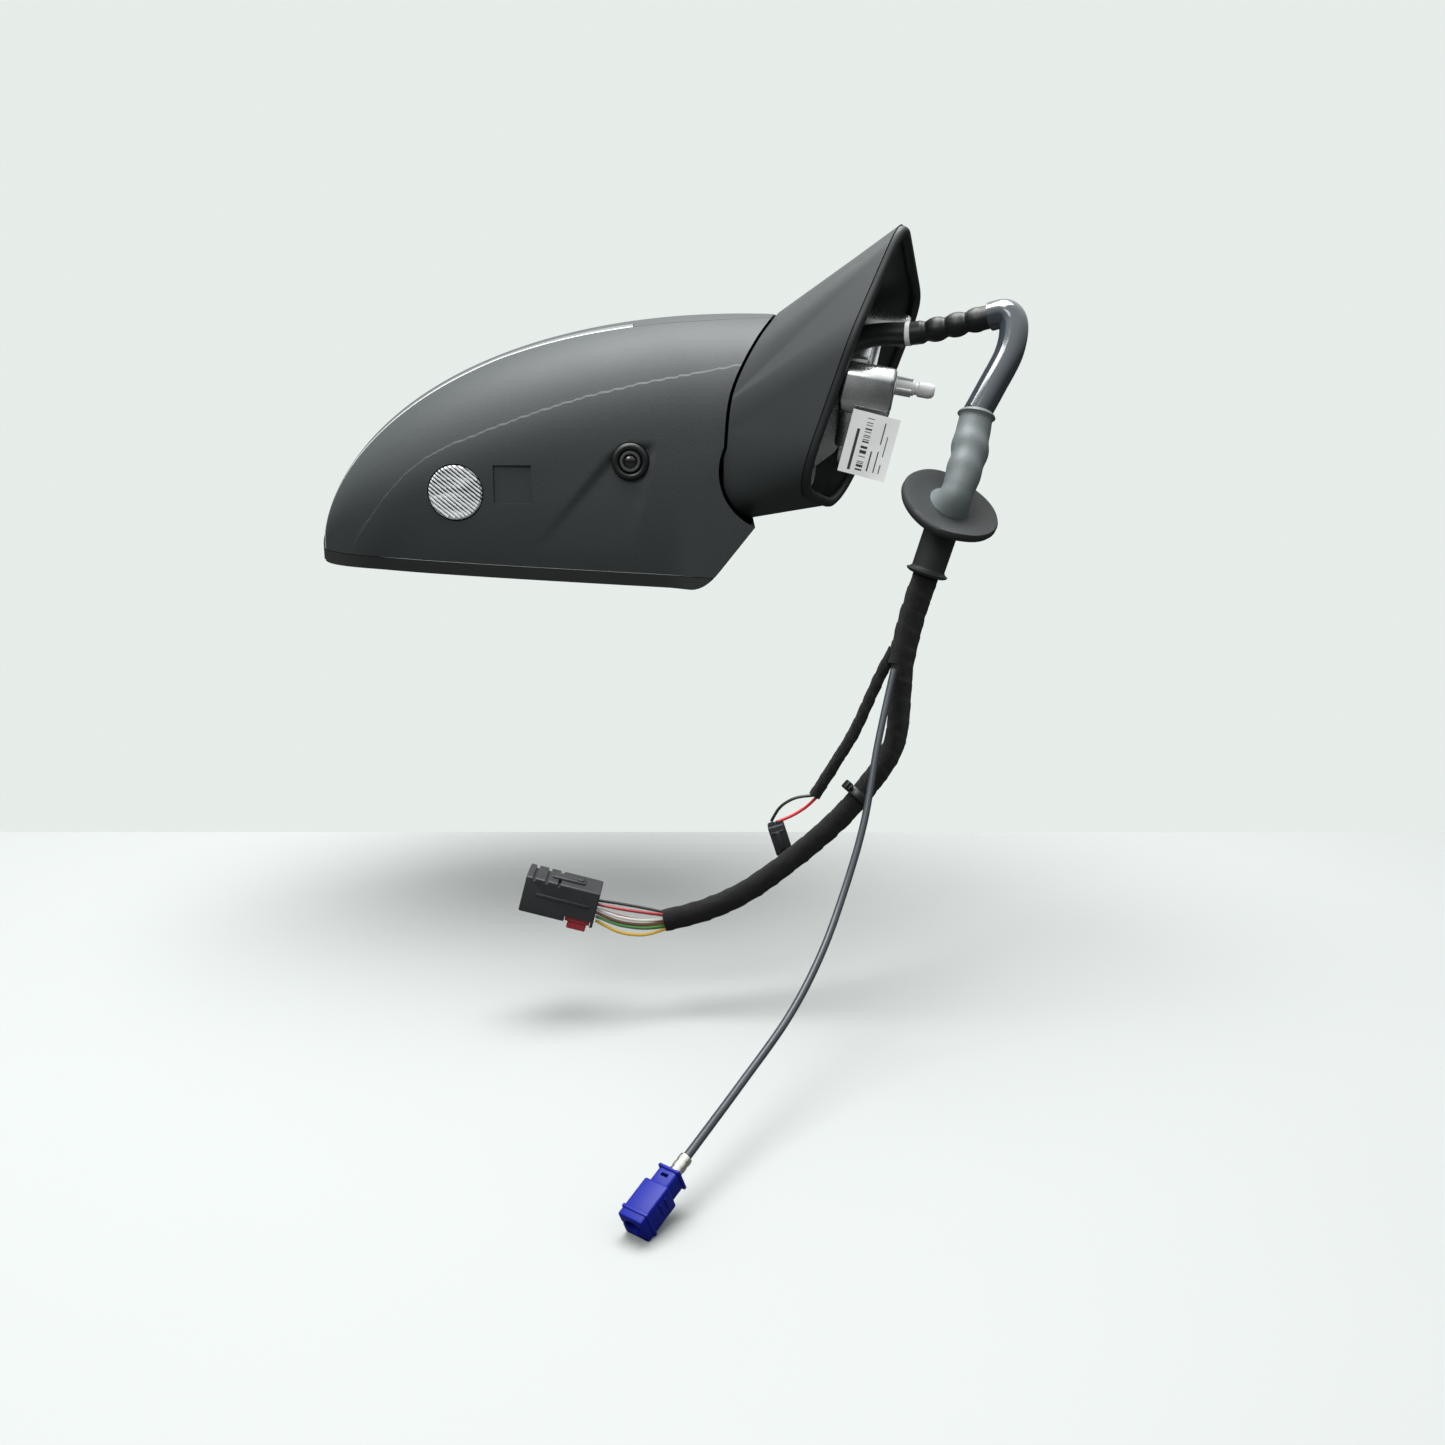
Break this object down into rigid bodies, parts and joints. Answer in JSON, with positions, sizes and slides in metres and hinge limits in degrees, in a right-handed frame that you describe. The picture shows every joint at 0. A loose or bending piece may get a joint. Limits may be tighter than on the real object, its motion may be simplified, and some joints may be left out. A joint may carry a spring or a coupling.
{
  "type": "exterior door mirror",
  "caption": "Power-folding exterior door mirror with ground lamp, camera, turn signal strip, adjustable glass, conical foot, cast door bracket and hanging wiring harness.",
  "frame": {"origin": "centre of the circle of the three door bolts, in the plane of their boss faces", "axes": "+X towards the door, +Z towards the front of the car (the glass faces -Z), +Y up on the car; the foot's flange is turned and leaned in this frame"},
  "size_m": [0.3681, 0.4479, 0.3739],
  "materials": {
    "cast_metal": "die-cast, as cast",
    "foot_plastic": "smooth satin",
    "gasket_rubber": "matte",
    "screw_steel": "zinc plated",
    "white_plastic": "natural polyamide",
    "label_paper": "printed with plain bars",
    "post_steel": "turned",
    "spring_steel": "drawn wire",
    "gear_plastic": "acetal",
    "frame_plastic": "glass-filled polyamide",
    "shell_plastic": "fine grain",
    "cap_plastic": "smooth, primed",
    "bezel_plastic": "fine grain",
    "signal_clear": "clear with fine optics",
    "guide_clear": "clear light guide",
    "circuit_board": "solder mask",
    "lamp_clear": "clear with ribs",
    "lamp_black": "moulded",
    "camera_black": "semi-gloss",
    "camera_glass": "coated lens",
    "motor_steel": "zinc plated",
    "bronze": "sintered",
    "mirror_silver": "coated glass",
    "heater_film": "film heater",
    "tube_rubber": "ribbed, satin",
    "tube_vinyl": "glossy vinyl",
    "grommet_rubber": "matte, dusty",
    "fleece_tape": "fleece tape",
    "tie_plastic": "polyamide",
    "wire_vinyl": "coloured insulation",
    "plug_black": "moulded",
    "lock_red": "moulded",
    "coax_black": "satin jacket",
    "ferrule_nickel": "nickel",
    "plug_blue": "moulded",
    "lock_purple": "moulded"
  },
  "bodies": {
    "foot": {"bracket": "cast_metal", "foot_cover": "foot_plastic", "flange_gasket": "gasket_rubber", "cover_screws": "screw_steel", "locating_pin": "white_plastic", "paper_label": "label_paper", "pivot_post": "post_steel", "detent_ring": "post_steel", "fold_gear": "gear_plastic", "fold_spring": "spring_steel", "retaining_nut": "screw_steel", "ribbed_tube": "tube_rubber", "smooth_tube": "tube_vinyl", "grommet": "grommet_rubber", "trunk": "fleece_tape", "cable_tie": "tie_plastic", "thin_branch": "fleece_tape", "lead_wires": "wire_vinyl", "lead_plug": "plug_black", "thick_branch": "fleece_tape", "plug_wires": "wire_vinyl", "main_plug": "plug_black", "coax_cable": "coax_black", "coax_ferrule": "ferrule_nickel", "coax_plug": "plug_blue"},
    "head": {"carrier_frame": "frame_plastic", "post_bush": "white_plastic", "lower_shell": "shell_plastic", "skull_cap": "cap_plastic", "bezel_ring": "bezel_plastic", "actuator_screws": "screw_steel", "signal_lens": "signal_clear", "signal_guide": "guide_clear", "signal_board": "circuit_board", "lamp_lens": "lamp_clear", "lamp_housing": "lamp_black", "lamp_board": "circuit_board", "camera_body": "camera_black", "camera_bezel": "camera_black", "camera_lens": "camera_glass", "drive_housing": "frame_plastic", "fold_motor": "motor_steel", "worm_bearings": "bronze", "actuator_housing": "frame_plastic", "tilt_motors": "motor_steel"},
    "worm": {"fold_worm": "post_steel"},
    "side_rod": {"side_plunger": "white_plastic"},
    "height_rod": {"height_plunger": "white_plastic"},
    "gimbal": {"tilt_gimbal": "white_plastic"},
    "glass": {"mirror_glass": "mirror_silver", "heater_pad": "heater_film", "glass_backing": "frame_plastic"},
    "red_lock": {"plug_lock": "lock_red"},
    "purple_lock": {"coax_lock": "lock_purple"}
  },
  "joints": [
    {"name": "fold", "type": "hinge", "parent": "foot", "child": "head", "pos_m": [-0.062, 0, -0.0385], "axis": [0, 1, 0], "range_deg": [-58, 0]},
    {"name": "worm_spin", "type": "hinge", "parent": "head", "child": "worm", "pos_m": [-0.073, 0.0425, -0.0175], "axis": [1, 0, 0], "range_deg": [-1740, 0]},
    {"name": "glass_turn", "type": "hinge", "parent": "head", "child": "gimbal", "pos_m": [-0.19539, 0.055, -0.07049], "axis": [0, 1, 0], "range_deg": [-6, 6]},
    {"name": "glass_tilt", "type": "hinge", "parent": "gimbal", "child": "glass", "pos_m": [-0.19539, 0.055, -0.07049], "axis": [0.9984, 0, -0.0558], "range_deg": [-6, 6]},
    {"name": "side_rod_slide", "type": "slide", "parent": "head", "child": "side_rod", "axis": [0.0558, 0, 0.9984], "range_m": [-0.00283, 0.00283]},
    {"name": "height_rod_slide", "type": "slide", "parent": "head", "child": "height_rod", "axis": [0.0558, 0, 0.9984], "range_m": [-0.00283, 0.00283]},
    {"name": "red_lock_slide", "type": "slide", "parent": "foot", "child": "red_lock", "axis": [0.2588, 0, 0.9659], "range_m": [-0.002, 0]},
    {"name": "purple_lock_slide", "type": "slide", "parent": "foot", "child": "purple_lock", "axis": [-0.56, -0.72, -0.41], "range_m": [0, 0.0022]}
  ],
  "couplings": [
    {"joint": "worm_spin", "follows": "fold", "ratio": 30},
    {"joint": "side_rod_slide", "follows": "glass_turn", "m_per_rad": 0.027},
    {"joint": "height_rod_slide", "follows": "glass_tilt", "m_per_rad": 0.027}
  ]
}
